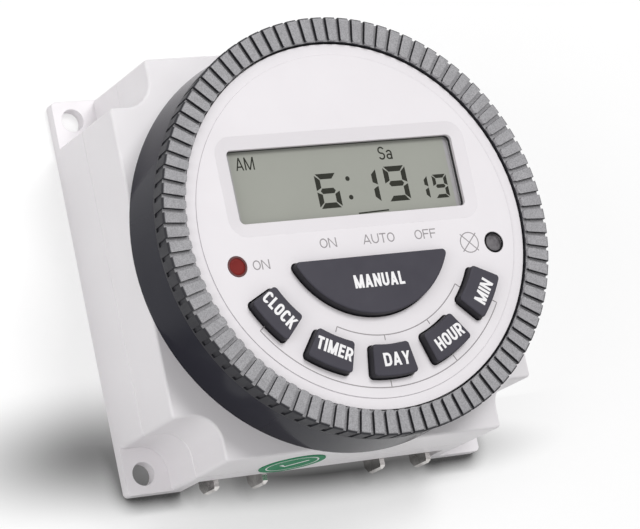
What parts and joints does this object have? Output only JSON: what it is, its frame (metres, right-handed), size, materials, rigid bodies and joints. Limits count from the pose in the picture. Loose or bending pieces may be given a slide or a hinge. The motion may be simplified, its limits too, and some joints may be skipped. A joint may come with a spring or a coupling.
{
  "type": "digital timer switch",
  "caption": "Square timer switch with corner ears, a round dial with display, push keys and lamp, a knurled rim and flat terminal tabs.",
  "frame": {"origin": "centre of the square mounting face", "axes": "+Z out of the dial, +X to the right and +Y up as the dial is read; it lies on its back"},
  "size_m": [0.0624, 0.0627, 0.0327],
  "materials": {
    "white_plastic": "satin moulded plastic",
    "dial_plastic": "fine matt moulded plastic",
    "drum_plastic": "polished moulded plastic",
    "ring_plastic": "finely textured moulded plastic",
    "frame_plastic": "matt",
    "lcd_glass": "satin polariser film over display glass",
    "strip_rubber": "matt",
    "board_laminate": "satin solder mask",
    "chip_plastic": "matt",
    "can_metal": "satin",
    "lamp_plastic": "polished",
    "relay_plastic": "satin",
    "capacitor_plastic": "satin",
    "can_sleeve": "satin",
    "varistor_coat": "satin",
    "resistor_coat": "matt",
    "screw_steel": "zinc plated",
    "sticker_film": "satin film",
    "terminal_tin": "tin plated",
    "key_plastic": "satin",
    "plunger_plastic": "matt"
  },
  "bodies": {
    "case": {"rear_housing": "white_plastic", "front_housing": "white_plastic", "face_plate": "dial_plastic", "drum": "drum_plastic", "knurled_ring": "ring_plastic", "lcd_frame": "frame_plastic", "lcd_panel": "lcd_glass", "zebra_strips": "strip_rubber", "display_board": "board_laminate", "power_board": "board_laminate", "controller_chip": "chip_plastic", "clock_crystal": "can_metal", "status_led": "lamp_plastic", "key_switches": "chip_plastic", "relay": "relay_plastic", "film_capacitor": "capacitor_plastic", "smoothing_capacitor": "can_sleeve", "rectifier": "chip_plastic", "varistor": "varistor_coat", "fuse_resistor": "resistor_coat", "backup_battery": "can_metal", "link_header": "chip_plastic", "case_screws": "screw_steel", "display_screws": "screw_steel", "power_board_screws": "screw_steel", "seal_sticker": "sticker_film", "terminal_1": "terminal_tin", "terminal_2": "terminal_tin", "terminal_3": "terminal_tin", "terminal_4": "terminal_tin"},
    "manual_key": {"manual_button": "key_plastic", "manual_plunger": "plunger_plastic"},
    "clock_key": {"clock_button": "key_plastic", "clock_plunger": "plunger_plastic"},
    "timer_key": {"timer_button": "key_plastic", "timer_plunger": "plunger_plastic"},
    "day_key": {"day_button": "key_plastic", "day_plunger": "plunger_plastic"},
    "hour_key": {"hour_button": "key_plastic", "hour_plunger": "plunger_plastic"},
    "minute_key": {"minute_button": "key_plastic", "minute_plunger": "plunger_plastic"},
    "reset_key": {"reset_button": "key_plastic", "reset_plunger": "plunger_plastic"}
  },
  "joints": [
    {"name": "manual_press", "type": "slide", "parent": "case", "child": "manual_key", "axis": [0, 0, -1], "range_m": [0, 0.0005], "stiffness_N_per_m": 1500, "springref_m": -0.0002},
    {"name": "clock_press", "type": "slide", "parent": "case", "child": "clock_key", "axis": [0, 0, -1], "range_m": [0, 0.0005], "stiffness_N_per_m": 1500, "springref_m": -0.0002},
    {"name": "timer_press", "type": "slide", "parent": "case", "child": "timer_key", "axis": [0, 0, -1], "range_m": [0, 0.0005], "stiffness_N_per_m": 1500, "springref_m": -0.0002},
    {"name": "day_press", "type": "slide", "parent": "case", "child": "day_key", "axis": [0, 0, -1], "range_m": [0, 0.0005], "stiffness_N_per_m": 1500, "springref_m": -0.0002},
    {"name": "hour_press", "type": "slide", "parent": "case", "child": "hour_key", "axis": [0, 0, -1], "range_m": [0, 0.0005], "stiffness_N_per_m": 1500, "springref_m": -0.0002},
    {"name": "minute_press", "type": "slide", "parent": "case", "child": "minute_key", "axis": [0, 0, -1], "range_m": [0, 0.0005], "stiffness_N_per_m": 1500, "springref_m": -0.0002},
    {"name": "reset_press", "type": "slide", "parent": "case", "child": "reset_key", "axis": [0, 0, -1], "range_m": [0, 0.0005], "stiffness_N_per_m": 1500, "springref_m": -0.0002}
  ]
}
